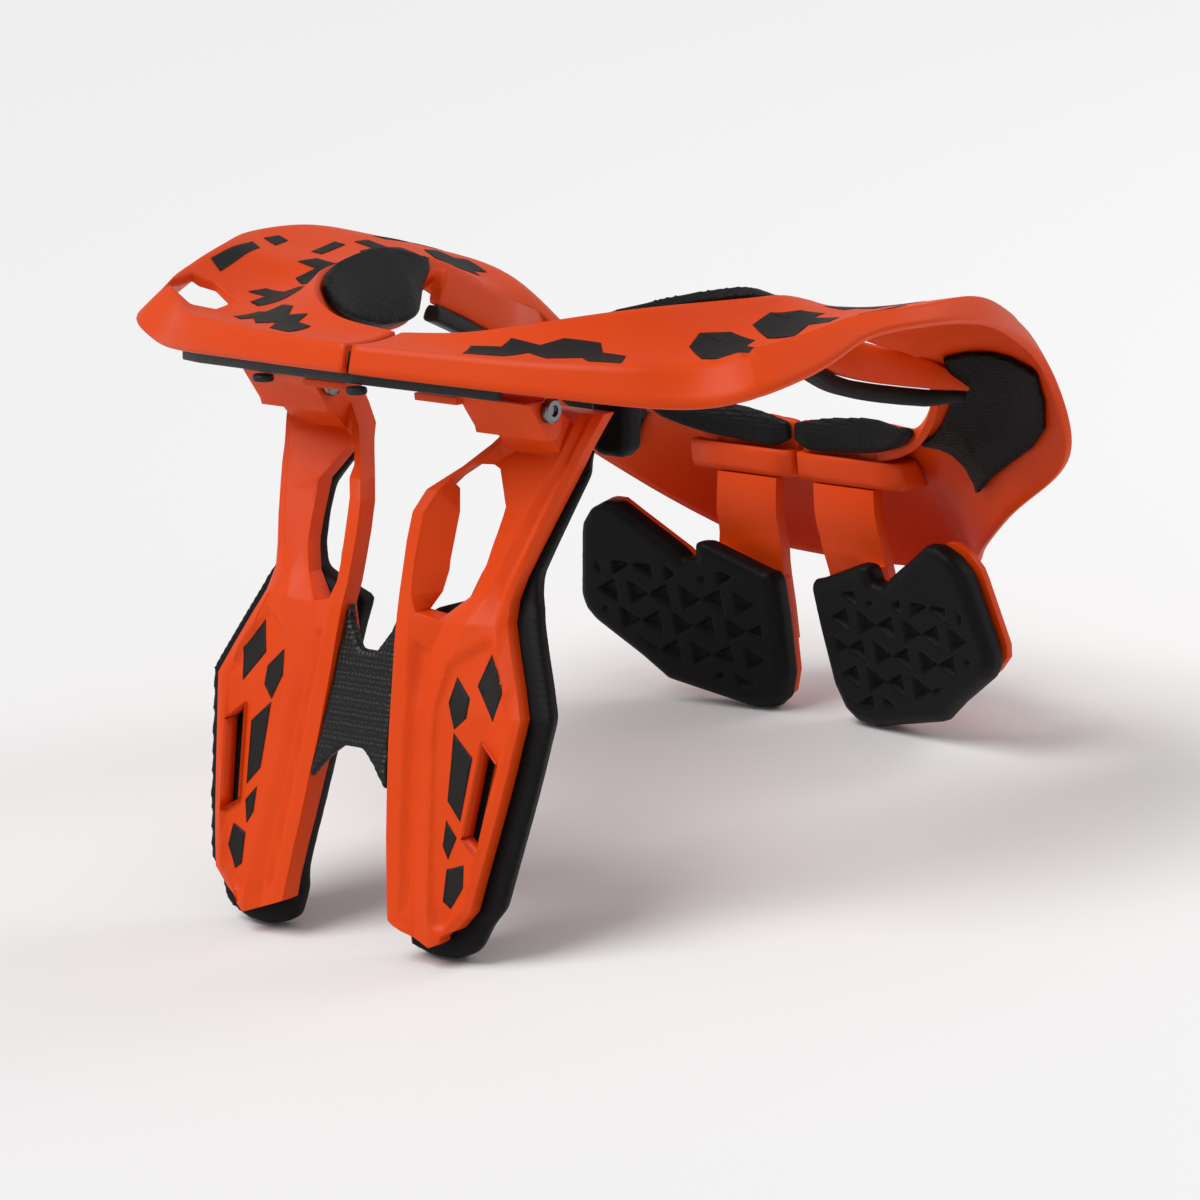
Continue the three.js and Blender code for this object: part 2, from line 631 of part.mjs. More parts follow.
// The chest strut: a long plate with a proud inner rail, a window and a slot.
// Rows from the top down: height as a share of STRUT_HEIGHT, the front of the rail and of the
// outer edge before the hinge as shares of STRUT_REACH, then X of seven columns as shares
// of STRUT_HALF_WIDTH:
// rail inside, rail outside, panel inside, ridge, slot inside, slot outside, outer edge.
// The last number is how far the ridge stands proud, in millimetres.
const STRUT = [
  [0.93, -0.474, -0.553, [0.606, 0.636, 0.697, 0.879, 0.909, 0.939, 0.985], 3],
  [0.86, -0.368, -0.461, [0.5, 0.538, 0.636, 0.871, 0.902, 0.924, 0.959], 4],
  [0.791, -0.289, -0.387, [0.42, 0.462, 0.576, 0.856, 0.879, 0.902, 0.929], 4.5],
  [0.744, -0.184, -0.337, [0.364, 0.421, 0.485, 0.833, 0.864, 0.886, 0.914], 4],
  [0.709, -0.1, -0.3, [0.324, 0.385, 0.432, 0.811, 0.848, 0.871, 0.902], 3.5],
  [0.628, 0.132, -0.211, [0.209, 0.273, 0.515, 0.773, 0.818, 0.848, 0.871], 3],
  [0.547, 0.224, -0.118, [0.165, 0.227, 0.58, 0.735, 0.788, 0.818, 0.842], 2.5],
  [0.442, 0.289, -0.005, [0.158, 0.221, 0.576, 0.689, 0.75, 0.78, 0.803], 2],
  [0.337, 0.35, 0.095, [0.161, 0.224, 0.561, 0.645, 0.705, 0.735, 0.761], 1.5],
  [0.256, 0.4, 0.163, [0.164, 0.23, 0.515, 0.606, 0.705, 0.736, 0.764], 1.2],
  [0.174, 0.458, 0.245, [0.174, 0.242, 0.424, 0.568, 0.727, 0.765, 0.805], 1],
  [0.07, 0.511, 0.334, [0.183, 0.258, 0.379, 0.52, 0.758, 0.811, 0.87], 1],
  [-0.035, 0.555, 0.413, [0.192, 0.273, 0.364, 0.479, 0.773, 0.848, 0.936], 1.2],
  [-0.145, 0.605, 0.5, [0.203, 0.288, 0.371, 0.464, 0.765, 0.864, 1], 1.5],
  [-0.198, 0.632, 0.526, [0.209, 0.292, 0.379, 0.468, 0.758, 0.867, 0.991], 1.5],
  [-0.256, 0.658, 0.555, [0.215, 0.297, 0.383, 0.476, 0.748, 0.864, 0.98], 1.5],
  [-0.326, 0.689, 0.587, [0.224, 0.303, 0.394, 0.488, 0.739, 0.858, 0.968], 1.5],
  [-0.465, 0.755, 0.658, [0.247, 0.324, 0.412, 0.512, 0.721, 0.836, 0.941], 1.5],
  [-0.628, 0.824, 0.745, [0.274, 0.348, 0.439, 0.536, 0.702, 0.812, 0.906], 1.5],
  [-0.714, 0.861, 0.789, [0.292, 0.364, 0.452, 0.55, 0.705, 0.8, 0.886], 1.5],
  [-0.852, 0.913, 0.853, [0.318, 0.385, 0.47, 0.571, 0.694, 0.773, 0.853], 1.5],
  [-0.924, 0.937, 0.863, [0.333, 0.402, 0.485, 0.582, 0.667, 0.72, 0.77], 1.5],
  [-1, 0.953, 0.895, [0.371, 0.424, 0.492, 0.588, 0.644, 0.682, 0.72], 0.8],
];
const WINDOW_ROWS = [4, 10];

const strutFront = STRUT.map(([z, railY, edgeY, columns, proud], i) => {
  const height = z * STRUT_HEIGHT;
  const xs = columns.map((x) => x * STRUT_HALF_WIDTH);
  const rail = HINGE_Y - railY * STRUT_REACH;
  const edge = HINGE_Y - edgeY * STRUT_REACH;
  const panel = edge + (rail - edge) * (i < WINDOW_ROWS[1] ? 0.12 : 0.45);
  const ridge = Math.min(panel, edge) - proud;
  const middle = (ridge + edge) / 2;
  const ys = [rail, rail, panel, ridge, middle + 0.3, middle, edge];
  return xs.map((x, k) => at(x, ys[k], height - tipDrop(x, i)));
});

// The last row draws up into a blunt point on both sides of the tip
function tipDrop(x, i) {
  if (i < STRUT.length - 1) return 0;
  return x > 39 ? -0.6 * (x - 39) : -0.36 * (39 - x);
}

const strutBackY = STRUT.map(([, , edgeY]) => HINGE_Y - edgeY * STRUT_REACH + STRUT_THICK);
const strutBack = strutFront.map((row, i) =>
  row.map((p, j) => {
    const slim = j < 2 && i > 2 && i <= WINDOW_ROWS[1];
    return at(p.x, slim ? Math.min(strutBackY[i], p.y + RAIL_DEPTH) : strutBackY[i], p.z);
  })
);
const strutPlate = skin(strutFront, strutBack);

// The window and the slot, in shares of STRUT_HALF_WIDTH and STRUT_HEIGHT, cut straight through
const WINDOW = [
  [0.303, 0.669],
  [0.379, 0.727],
  [0.485, 0.703],
  [0.591, 0.581],
  [0.561, 0.372],
  [0.508, 0.256],
  [0.394, 0.169],
  [0.273, 0.192],
  [0.233, 0.256],
  [0.224, 0.372],
  [0.233, 0.547],
];
const SLOT = [
  [0.745, -0.238],
  [0.855, -0.308],
  [0.809, -0.647],
  [0.706, -0.593],
];
const through = (outline) =>
  cushion(
    outline.map(([x, z]) => [x * STRUT_HALF_WIDTH, z * STRUT_HEIGHT]),
    [
      [0, -2 * STRUT_REACH],
      [0, 2 * STRUT_REACH],
    ],
    (x, z, depth) => at(x, HINGE_Y + depth, z)
  );

const KNUCKLE_IN = BRACKET_IN + CHEEK + GAP;
const KNUCKLE_OUT = BRACKET_OUT - CHEEK - GAP;
const knuckleRadius = BOLT_RADIUS + BORE_CLEARANCE + KNUCKLE_WALL;
const knuckle = cylinder(
  knuckleRadius,
  KNUCKLE_OUT - KNUCKLE_IN,
  at((KNUCKLE_IN + KNUCKLE_OUT) / 2, HINGE_Y, HINGE_Z),
  at(1, 0, 0)
);
const armShape = [
  [HINGE_Y + 2.2, HINGE_Z + 3.2],
  [HINGE_Y + 18, HINGE_Z - 7.3],
  [HINGE_Y + 18, HINGE_Z - 17.3],
  [HINGE_Y + 12, HINGE_Z - 16.8],
  [HINGE_Y - 1.6, HINGE_Z - 3.4],
];
const strut = fromSolid(
  solid(strutPlate)
    .subtract(solid(through(WINDOW)))
    .subtract(solid(through(SLOT)))
    .add(solid(knuckle))
    .add(solid(slab(armShape, KNUCKLE_IN, KNUCKLE_OUT)))
    .subtract(solid(bore(BORE_CLEARANCE)))
);

// The chest foam follows the back of the strut and shows past its outer edge and its tip
const foamFront = [];
const foamBack = [];
STRUT.forEach(([z, , , columns], i) => {
  if (i < 2) return;
  const xs = columns.map((x) => x * STRUT_HALF_WIDTH);
  const low = i >= WINDOW_ROWS[1];
  const last = i === STRUT.length - 1;
  const a = low ? xs[0] + 1.5 : xs[2] + 1.5;
  const b = xs[6] + CHEST_FOAM_SPREAD * (i < 4 ? 0.3 : 1);
  const height = z * STRUT_HEIGHT;
  const y = strutBackY[i] + GAP;
  const thick = CHEST_FOAM * Math.min(1, 0.62 + (i - 2) * 0.06);
  const down = (x) => (last ? 6.5 + tipDrop(x, i) * 0.8 : 0);
  const row = [a, a + (b - a) * 0.33, a + (b - a) * 0.67, b];
  foamFront.push(row.map((x) => at(x, y, height - down(x))));
  foamBack.push(
    row.map((x, k) => {
      const draw = k === 0 ? 2 : k === 3 ? -3.4 : 0;
      return at(x + draw, y + thick * (k % 3 ? 1 : 0.85), height - down(x));
    })
  );
});
const chestFoam = skin(foamFront, foamBack);

// The woven bridge between the two inner rails, waisted at the centre
const BRIDGE = [
  [3.2, 2],
  [8, 9],
  [10.9, 17],
  [11.767, 5],
  [12.816, -10],
  [14.1, -25],
  [15.9, -40],
  [9, -32],
  [4, -28],
];
const bridgeY = (z) => HINGE_Y - STRUT_REACH * (0.484 - 0.00703 * (z - 2));
const bridge = cushion(
  [...BRIDGE.map(([x, z]) => [x, z]), ...BRIDGE.map(([x, z]) => [-x, z]).reverse()],
  [
    [0, 0],
    [0, BRIDGE_THICK],
  ],
  (x, z, depth) => at(x, bridgeY(z) + depth, z)
);

// The shoulder blade pad, its outline in shares of SCAPULA_WIDTH and SCAPULA_HEIGHT
const SCAPULA = [
  [0.913, -0.007],
  [0.899, 0.063],
  [0.851, 0.155],
  [0.784, 0.207],
  [0.727, 0.205],
  [0.652, 0.12],
  [0.504, -0.042],
  [0.47, -0.098],
  [0.422, -0.087],
  [0.412, 0.007],
  [0.363, 0.013],
  [0.129, -0.132],
  [0.101, -0.138],
  [0.085, -0.192],
  [0.092, -0.433],
  [0.107, -0.692],
  [0.112, -0.778],
  [0.149, -0.93],
  [0.205, -0.998],
  [0.305, -1.007],
  [0.647, -0.893],
  [0.746, -0.763],
  [0.863, -0.632],
  [0.925, -0.562],
  [0.96, -0.49],
  [0.97, -0.397],
];
const scapulaOutline = SCAPULA.map(([x, z]) => [x * SCAPULA_WIDTH, z * SCAPULA_HEIGHT]);
const SCAPULA_Y = { base: -3.0, perX: -0.135, perZ: -0.308 };
const scapulaPlace = (x, z, depth) =>
  at(x, LEDGE_FRONT + SCAPULA_Y.base + SCAPULA_Y.perX * x + SCAPULA_Y.perZ * z + depth, z);
const scapulaPad = cushion(
  scapulaOutline,
  [
    [3.2, 0],
    [1, 1.2],
    [0, 3.6],
    [0, SCAPULA_THICK - 2],
    [1.5, SCAPULA_THICK],
  ],
  scapulaPlace
);

// The back strap: a blade from under the ledge that runs on as the plate behind the pad
const STRAP = [
  [0, 8, 33.3, 1.9],
  [8, 8.2, 33.8, 2.1],
  [14, 8.6, 34.6, 2.9],
  [19, 8.8, 35, 4.9],
  [22.5, 9, 35.2, 5.7],
  [27, 9.4, 35.8, 6.3],
  [31, 10, 36, 7.5],
  [36, 10.4, 36, 8.5],
  [48, 11, 36, 11.5],
  [60, 12, 36, 13.5],
];
const STRAP_TOP = LEDGE_TOP - LEDGE_TALL - GAP;
const strapFront = STRAP.map(([drop, x0, x1, y]) => {
  const z = STRAP_TOP - drop;
  const front = LEDGE_FRONT + y;
  const behind = (x) => Math.max(front, z < -1 ? scapulaPlace(x, z, SCAPULA_THICK + GAP + 0.1).y : front);
  return [x0, (x0 + x1) / 2, x1].map((x) => at(x, behind(x), z));
});
const strapBack = strapFront.map((row) => row.map((p) => at(p.x, p.y + STRAP_THICK, p.z)));
const backPlate = cushion(
  plateShape(),
  [
    [0, SCAPULA_THICK + GAP],
    [0, SCAPULA_THICK + GAP + SCAPULA_PLATE],
  ],
  scapulaPlace
);
const strap = fromSolid(solid(skin(strapFront, strapBack)).add(solid(backPlate)));

// The plate shows past the pad along its upper outer edge only
function plateShape() {
  return inset(scapulaOutline, 2).map(([x, z]) => {
    const push = x > 55 && z > -30 ? 3.4 : 0;
    return [x + push * 0.8, z + push * 0.6];
  });
}

// The clavicle pads hang under the collar behind the chest foam
const clavicle = cushion(
  [
    [50.5, 66],
    [54, 64],
    [62.5, 64],
    [66, 67],
    [66, 85],
    [63, 88],
    [53.5, 88],
    [50.5, 85],
  ],
  [
    [1.6, 0],
    [0, 1.6],
    [0, 7.2],
    [1.2, 8.6],
  ],
  (x, z, depth) => at(x, HINGE_Y + CLAVICLE_BACK + depth, z)
);

// Meshes, mirrored pairs and the standing pose

const paint = (color, roughness, metalness = 0) =>
  new THREE.MeshStandardMaterial({ color, roughness, metalness });

const group = new THREE.Group();
group.name = "neck_brace";
const collarGroup = new THREE.Group();
collarGroup.name = "collar_assembly";
const chestGroup = new THREE.Group();
chestGroup.name = "chest_assembly";
group.add(collarGroup, chestGroup);

function mesh(name, geometry, parent, color, roughness, metalness) {
  const piece = geometry.index ? geometry.toNonIndexed() : geometry.clone();
  piece.deleteAttribute("normal");
  piece.deleteAttribute("uv");
  piece.computeVertexNormals();
  const result = new THREE.Mesh(piece, paint(color, roughness, metalness));
  result.name = name;
  parent.add(result);
}

function mirrorX(geometry) {
  const copy = geometry.clone();
  copy.scale(-1, 1, 1);
  const index = Array.from(copy.index.array);
  for (let i = 0; i < index.length; i += 3) {
    [index[i + 1], index[i + 2]] = [index[i + 2], index[i + 1]];
  }
  copy.setIndex(index);
  return copy;
}

function pair(name, geometry, parent, color, roughness, metalness) {
  mesh(`${name}_left`, geometry, parent, color, roughness, metalness);
  mesh(`${name}_right`, mirrorX(geometry), parent, color, roughness, metalness);
}

pair("collar", collar, collarGroup, ORANGE, 0.42);
pair("shoulder_lip", shoulderLip, collarGroup, ORANGE, 0.42);
pair("shoulder_rubber", shoulderRubber, collarGroup, RUBBER, 0.6);
mesh("front_link_plate", linkPlate(), collarGroup, BLACK, 0.5);
mesh("link_button_middle", button(1), collarGroup, BLACK, 0.3);
mesh("link_button_right", button(-47), collarGroup, BLACK, 0.3);
pair("hinge_bracket", bracket, collarGroup, ORANGE, 0.42);
pair("hinge_bolt", bolt, collarGroup, STEEL, 0.3, 0.9);
pair("front_collar_pad", frontPad, collarGroup, BLACK, 0.75);
pair("rear_collar_pad", rearPad, collarGroup, BLACK, 0.75);
pair("rear_foam_panel", rearPanel, collarGroup, BLACK, 0.8);
pair("clavicle_pad", clavicle, collarGroup, BLACK, 0.8);
pair("back_strap", strap, collarGroup, ORANGE, 0.42);
pair("scapula_pad", scapulaPad, collarGroup, BLACK, 0.75);
pair("chest_strut", strut, chestGroup, ORANGE, 0.42);
pair("chest_pad", chestFoam, chestGroup, BLACK, 0.8);
mesh("chest_bridge", bridge, chestGroup, BLACK, 0.75);

// Pitch about X until the lowest chest point and the lowest rear point share one height
const pieces = [...collarGroup.children, ...chestGroup.children];

function lowest(test) {
  let best = at(0, 0, Infinity);
  for (const piece of pieces) {
    const position = piece.geometry.getAttribute("position");
    for (let i = 0; i < position.count; i += 1) {
      const p = at(position.getX(i), position.getY(i), position.getZ(i));
      if (test(p) && p.z < best.z) best = p;
    }
  }
  return best;
}

for (let round = 0; round < 12; round += 1) {
  const front = lowest((p) => p.y < 0);
  const rear = lowest((p) => p.y > 0);
  const angle = -Math.atan2(rear.z - front.z, rear.y - front.y);
  for (const piece of pieces) piece.geometry.rotateX(angle);
}
const box = new THREE.Box3();
for (const piece of pieces) {
  piece.geometry.computeBoundingBox();
  box.union(piece.geometry.boundingBox);
}
const middle = box.getCenter(at(0, 0, 0));
for (const piece of pieces) piece.geometry.translate(-middle.x, -middle.y, -box.min.z);

export default group;
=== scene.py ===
"""Motocross neck brace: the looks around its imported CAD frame, as a small Blender add-on."""

import math

import bmesh
import bpy
from mathutils import Matrix, Vector
from mathutils.bvhtree import BVHTree


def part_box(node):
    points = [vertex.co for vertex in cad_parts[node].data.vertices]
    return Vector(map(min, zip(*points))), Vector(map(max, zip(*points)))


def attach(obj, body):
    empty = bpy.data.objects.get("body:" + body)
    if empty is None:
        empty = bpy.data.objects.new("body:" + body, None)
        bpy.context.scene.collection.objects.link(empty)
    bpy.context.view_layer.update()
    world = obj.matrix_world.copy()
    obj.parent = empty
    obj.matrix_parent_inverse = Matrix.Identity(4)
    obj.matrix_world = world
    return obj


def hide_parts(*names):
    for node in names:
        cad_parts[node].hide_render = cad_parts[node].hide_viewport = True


bl_info = {
    "name": "Neck brace",
    "version": (1, 0, 0),
    "blender": (4, 5, 0),
    "location": "View3D > Sidebar > Neck brace",
    "description": "Builds a motocross neck brace round its CAD frame",
    "category": "Add Mesh",
}

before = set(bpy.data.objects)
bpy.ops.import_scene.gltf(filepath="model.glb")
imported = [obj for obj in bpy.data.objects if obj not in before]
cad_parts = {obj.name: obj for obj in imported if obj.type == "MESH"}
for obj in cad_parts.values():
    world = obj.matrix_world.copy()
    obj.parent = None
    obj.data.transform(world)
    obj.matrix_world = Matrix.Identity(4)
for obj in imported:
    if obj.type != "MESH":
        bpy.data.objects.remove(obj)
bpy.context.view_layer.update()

# The standing pose: the worn frame is pitched about X, then moved, in metres
PITCH = -0.123188
SHIFT = Vector((0.0, -0.000830, 0.075667))
POSE = Matrix.Translation(SHIFT) @ Matrix.Rotation(PITCH, 4, "X")
TURN = POSE.to_3x3()
BACK = POSE.inverted()
BACK_TURN = BACK.to_3x3()

SIDES = (("left", 1), ("right", -1))


class BraceSizes(bpy.types.PropertyGroup):
    """Sizes of the looks"""

    hard_bevel: bpy.props.FloatProperty(
        name="Moulded edge radius",
        description="Radius of the edges of moulded pieces that are not smoothed",
        default=0.0007,
        unit="LENGTH",
    )
    crisp_angle: bpy.props.FloatProperty(
        name="Crisp edge angle",
        description="Edges that turn by more than this are rounded",
        default=math.radians(24),
        subtype="ANGLE",
    )
    foam_voxel: bpy.props.FloatProperty(
        name="Foam detail",
        description="Cell of the foam pieces' meshes",
        default=0.0009,
        unit="LENGTH",
    )
    foam_rounds: bpy.props.IntProperty(
        name="Foam softening",
        description="Rounds of smoothing over the foam's edges",
        default=5,
    )
    recess_side: bpy.props.FloatProperty(
        name="Pad triangle side",
        description="Side of the triangles in the shoulder blade pads",
        default=0.0098,
        unit="LENGTH",
    )
    recess_pitch: bpy.props.FloatProperty(
        name="Pad triangle pitch",
        description="Distance from one triangle to the next",
        default=0.0105,
        unit="LENGTH",
    )
    recess_depth: bpy.props.FloatProperty(
        name="Pad triangle depth",
        description="Depth of the triangles in the shoulder blade pads",
        default=0.0021,
        unit="LENGTH",
    )
    weave: bpy.props.FloatProperty(
        name="Mesh skin pitch",
        description="Distance between the bumps of the mesh skin, in millimetres",
        default=1.5,
    )
    print_lift: bpy.props.FloatProperty(
        name="Printed patch lift",
        description="Height of the printed patches over the plastic",
        default=0.00014,
        unit="LENGTH",
    )
    print_step: bpy.props.FloatProperty(
        name="Printed patch detail",
        description="Cell of the printed patches' meshes",
        default=0.0016,
        unit="LENGTH",
    )
    socket_across: bpy.props.FloatProperty(
        name="Bolt socket width",
        description="Width of the bolts' hexagon sockets across their flats",
        default=0.0034,
        unit="LENGTH",
    )
    socket_depth: bpy.props.FloatProperty(
        name="Bolt socket depth",
        description="Depth of the bolts' sockets",
        default=0.0014,
        unit="LENGTH",
    )


class BraceColours(bpy.types.PropertyGroup):
    """Colours as sRGB hex numbers"""

    orange: bpy.props.StringProperty(
        name="Moulded orange",
        description="Nylon in the lighter part of its faint clouds",
        default="DF4602",
    )
    orange_low: bpy.props.StringProperty(
        name="Moulded orange, low areas",
        description="Nylon in the darker part of its faint clouds",
        default="D53F01",
    )
    printed: bpy.props.StringProperty(
        name="Printed patches", description="Ink of the printed patches", default="171514"
    )
    foam: bpy.props.StringProperty(
        name="Foam", description="Foam skins and the mesh bridge", default="0B0B0C"
    )
    rubber: bpy.props.StringProperty(
        name="Rubber", description="Rubber strips under the lips", default="0D0D0E"
    )
    plastic: bpy.props.StringProperty(
        name="Black plastic", description="Front link and its buttons", default="1A1A1B"
    )
    steel: bpy.props.StringProperty(
        name="Plated steel", description="Hinge bolts", default="77787C"
    )
    floor: bpy.props.StringProperty(
        name="Floor", description="Floor under the brace", default="ECECEC"
    )


def sizes():
    """The sizes of the looks, as the panel shows them."""
    return bpy.context.scene.brace_sizes


def colours():
    """The colours, as the panel shows them."""
    return bpy.context.scene.brace_colours


def linear(text):
    """An sRGB hex number as linear red, green, blue and alpha."""
    values = [int(text[i : i + 2], 16) / 255 for i in (0, 2, 4)]
    values = [v / 12.92 if v <= 0.04045 else ((v + 0.055) / 1.055) ** 2.4 for v in values]
    return (*values, 1.0)


def worn(x, y, z):
    """A point of the worn frame, given in millimetres, in the standing frame."""
    return POSE @ (Vector((x, y, z)) / 1000)


def worn_place(place):
    """A point of the standing frame, in the worn frame's millimetres."""
    return BACK @ place * 1000


def worn_move(x, y, z):
    """A move in the worn frame, given in millimetres, in the standing frame."""
    return TURN @ Vector((x, y, z)) / 1000


# Materials


def add(tree, kind, inputs=None, **settings):
    """One shader node. An input is a socket, to be linked, or a constant."""
    made = tree.nodes.new(kind)
    for key, value in settings.items():
        setattr(made, key, value)
    for key, value in (inputs or {}).items():
        if isinstance(value, bpy.types.NodeSocket):
            tree.links.new(value, made.inputs[key])
        else:
            made.inputs[key].default_value = value
    return made


def new_material(name):
    """A material with a principled surface and millimetre coordinates."""
    made = bpy.data.materials.get(name)
    if made:
        return made, None, None, None
    made = bpy.data.materials.new(name)
    made.use_nodes = True
    tree = made.node_tree
    shader = tree.nodes["Principled BSDF"]
    place = add(tree, "ShaderNodeTexCoord").outputs["Object"]
    scaled = add(
        tree, "ShaderNodeVectorMath", {0: place, 1: (1000, 1000, 1000)}, operation="MULTIPLY"
    )
    return made, tree, shader, scaled.outputs[0]


def bump(tree, shader, height, strength, distance):
    """Adds a bump from a height in front of the surface's normal."""
    made = add(
        tree,
        "ShaderNodeBump",
        {"Height": height, "Strength": strength, "Distance": distance},
    )
    tree.links.new(made.outputs[0], shader.inputs["Normal"])


def moulded_orange():
    """Satin injection-moulded nylon, orange right through: a fine spark-eroded grain, no glare."""
    made, tree, shader, mm = new_material("orange_nylon")
    if not tree:
        return made
    # Faint clouds about 30 mm wide and a grain of about 0.3 mm
    cloud = add(tree, "ShaderNodeTexNoise", {"Vector": mm, "Scale": 0.03, "Detail": 3.0})
    mix = add(
        tree,
        "ShaderNodeMix",
        {"Factor": cloud.outputs[0], 6: linear(colours().orange_low), 7: linear(colours().orange)},
        data_type="RGBA",
    )
    tree.links.new(mix.outputs[2], shader.inputs["Base Color"])
    grain = add(tree, "ShaderNodeTexNoise", {"Vector": mm, "Scale": 3.2, "Detail": 3.0})
    rough = add(tree, "ShaderNodeMapRange", {0: grain.outputs[0], 3: 0.4, 4: 0.54})
    tree.links.new(rough.outputs[0], shader.inputs["Roughness"])
    shader.inputs["Specular IOR Level"].default_value = 0.22
    bump(tree, shader, grain.outputs[0], 0.12, 0.00012)
    return made


def printed_dark():
    """Dark grey pad-printed ink on the orange nylon, matte, with a faint speckle."""
    made, tree, shader, mm = new_material("printed_ink")
    if not tree:
        return made
    speck = add(tree, "ShaderNodeTexNoise", {"Vector": mm, "Scale": 2.4, "Detail": 4.0})
    ramp = add(tree, "ShaderNodeMapRange", {0: speck.outputs[0], 3: 0.85, 4: 1.2})
    tone = add(
        tree,
        "ShaderNodeVectorMath",
        {0: linear(colours().printed)[:3], "Scale": ramp.outputs[0]},
        operation="SCALE",
    )
    tree.links.new(tone.outputs[0], shader.inputs["Base Color"])
    shader.inputs["Roughness"].default_value = 0.55
    shader.inputs["Specular IOR Level"].default_value = 0.25
    bump(tree, shader, speck.outputs[0], 0.1, 0.0001)
    return made


def black_surface(name, colour, low, high, grain_scale, strength, sheen, weave=0.0):
    """Black foam skin, rubber or plastic: grain, and a mesh of small bumps where weave is set."""
    made, tree, shader, mm = new_material(name)
    if not tree:
        return made
    grain = add(tree, "ShaderNodeTexNoise", {"Vector": mm, "Scale": grain_scale, "Detail": 4.0})
    cloud = add(tree, "ShaderNodeTexNoise", {"Vector": mm, "Scale": 0.05, "Detail": 2.0})
    tone = add(tree, "ShaderNodeMapRange", {0: cloud.outputs[0], 3: 0.8, 4: 1.25})
    base = add(
        tree,
        "ShaderNodeVectorMath",
        {0: linear(colour)[:3], "Scale": tone.outputs[0]},
        operation="SCALE",
    )
    tree.links.new(base.outputs[0], shader.inputs["Base Color"])
    shader.inputs["Specular IOR Level"].default_value = sheen
    rough = add(tree, "ShaderNodeMapRange", {0: grain.outputs[0], 3: low, 4: high})
    tree.links.new(rough.outputs[0], shader.inputs["Roughness"])
    height = grain.outputs[0]
    if weave:
        cells = add(
            tree,
            "ShaderNodeTexVoronoi",
            {"Vector": mm, "Scale": 1.0 / weave, "Randomness": 0.2},
            feature="F1",
        )
        fine = add(tree, "ShaderNodeMath", {0: grain.outputs[0], 1: 0.15}, operation="MULTIPLY")
        total = add(
            tree,
            "ShaderNodeMath",
            {0: cells.outputs["Distance"], 1: fine.outputs[0]},
            operation="SUBTRACT",
        )
        height = total.outputs[0]
    bump(tree, shader, height, strength, 0.0004)
    return made


def foam_skin():
    """Closed-cell foam with a smooth moulded skin: nearly matt, with soft edges."""
    return black_surface("foam_skin", colours().foam, 0.48, 0.62, 1.6, 0.25, 0.15)


def woven_foam():
    """Foam with a mesh fabric pressed into its skin: matt, with small regular bumps."""
    return black_surface("woven_foam", colours().foam, 0.45, 0.6, 2.5, 0.8, 0.17, sizes().weave)


def bridge_mesh():
    """Mesh embossed in moulded nylon: the same bumps as the foam, glossier."""
    return black_surface("nylon_mesh", colours().foam, 0.36, 0.5, 2.5, 0.9, 0.34, sizes().weave)


def soft_rubber():
    """Solid black rubber with a fine moulded grain and a dull sheen."""
    return black_surface("soft_rubber", colours().rubber, 0.45, 0.62, 1.1, 0.3, 0.3)


def black_plastic():
    """Black glass-filled nylon: a coarse grain and a low sheen."""
    return black_surface("black_nylon", colours().plastic, 0.4, 0.6, 0.9, 0.4, 0.35)


def plated_steel():
    """Zinc-plated steel: grey, glossy and slightly uneven."""
    made, tree, shader, mm = new_material("plated_steel")
    if not tree:
        return made
    shader.inputs["Metallic"].default_value = 1.0
    shader.inputs["Base Color"].default_value = linear(colours().steel)
    grain = add(tree, "ShaderNodeTexNoise", {"Vector": mm, "Scale": 2.0, "Detail": 3.0})
    rough = add(tree, "ShaderNodeMapRange", {0: grain.outputs[0], 3: 0.16, 4: 0.32})
    tree.links.new(rough.outputs[0], shader.inputs["Roughness"])
    bump(tree, shader, grain.outputs[0], 0.1, 0.0001)
    return made


# Shapes


def linked(name, bm, material, body, replaced=()):
    """The finished mesh as an object that rides on its body."""
    mesh = bpy.data.meshes.new(name)
    bm.to_mesh(mesh)
    bm.free()
    mesh.materials.append(material)
    piece = bpy.data.objects.new(name, mesh)
    bpy.context.scene.collection.objects.link(piece)
    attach(piece, body)
    if replaced:
        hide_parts(*replaced)
    return piece


def body_of(node):
    """The body a CAD node rides on: the chest pieces swing, and all others stay on the collar."""
    return "chest" if node.startswith("chest_") else "collar"


def merged(node):
    """A copy of a CAD node with shared corners and its pairs of triangles joined."""
    bm = bmesh.new()
    bm.from_mesh(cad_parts[node].data)
    bmesh.ops.remove_doubles(bm, verts=bm.verts, dist=0.00002)
    bmesh.ops.dissolve_degenerate(bm, edges=bm.edges, dist=0.00001)
    bmesh.ops.join_triangles(
        bm,
        faces=bm.faces,
        angle_face_threshold=math.radians(25),
        angle_shape_threshold=math.radians(50),
    )
    bmesh.ops.recalc_face_normals(bm, faces=bm.faces)
    return bm


SMOOTH_ANGLE = math.radians(30)


def shade(bm):
    """Smooth faces with sharp edges wherever the surface turns by more than the smooth angle."""
    for face in bm.faces:
        face.smooth = True
    for edge in bm.edges:
        if len(edge.link_faces) == 2:
            edge.smooth = edge.calc_face_angle(0) < SMOOTH_ANGLE


def apply_modifier(piece, kind, **settings):
    """Adds one modifier and applies it at once."""
    made = piece.modifiers.new(kind.title(), kind)
    for key, value in settings.items():
        setattr(made, key, value)
    depsgraph = bpy.context.evaluated_depsgraph_get()
    mesh = bpy.data.meshes.new_from_object(piece.evaluated_get(depsgraph))
    piece.modifiers.remove(made)
    piece.data = mesh


# A smoothed piece is creased this much where its surface turns by more than the rim angle
RIM_ANGLE = math.radians(38)
RIM_CREASE = 0.72


